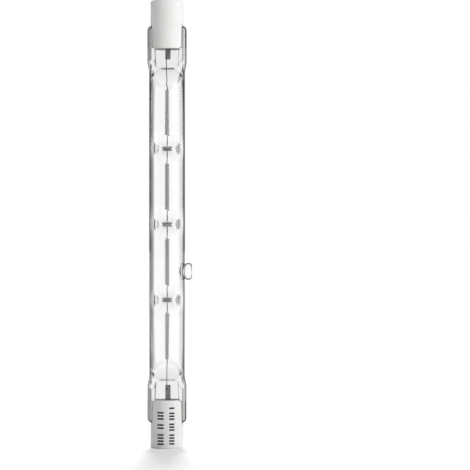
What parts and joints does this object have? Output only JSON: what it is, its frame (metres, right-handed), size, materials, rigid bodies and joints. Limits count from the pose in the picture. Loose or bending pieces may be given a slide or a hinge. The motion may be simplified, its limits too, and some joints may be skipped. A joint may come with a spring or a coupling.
{
  "type": "linear halogen bulb",
  "caption": "Double-ended tubular halogen lamp: clear quartz tube with flat sealed pinches, a coiled tungsten filament on dimples, and slotted ceramic end caps.",
  "frame": {"origin": "on the lamp's axis, at the mouth of the lower contact recess, which is the plane of the lower cap's end", "axes": "+Z along the lamp from the lower cap to the upper one, +X across the flat pinches on the side of the exhaust pip, +Y square to the flat pinches, away from the viewer"},
  "size_m": [0.0117, 0.0094, 0.1176],
  "materials": {
    "quartz": "clear fused quartz",
    "ceramic": "unglazed white steatite ceramic",
    "cement": "off-white lamp cement",
    "contact": "nickel-plated",
    "molybdenum": "dull grey molybdenum",
    "tungsten": "drawn tungsten wire"
  },
  "bodies": {
    "root": {"quartz_envelope": "quartz", "filament": "tungsten", "lower_foil": "molybdenum", "upper_foil": "molybdenum", "lower_outer_lead": "molybdenum", "upper_outer_lead": "molybdenum", "lower_ceramic_cap": "ceramic", "upper_ceramic_cap": "ceramic", "lower_contact_button": "contact", "upper_contact_button": "contact", "lower_cement": "cement", "upper_cement": "cement"}
  },
  "joints": []
}
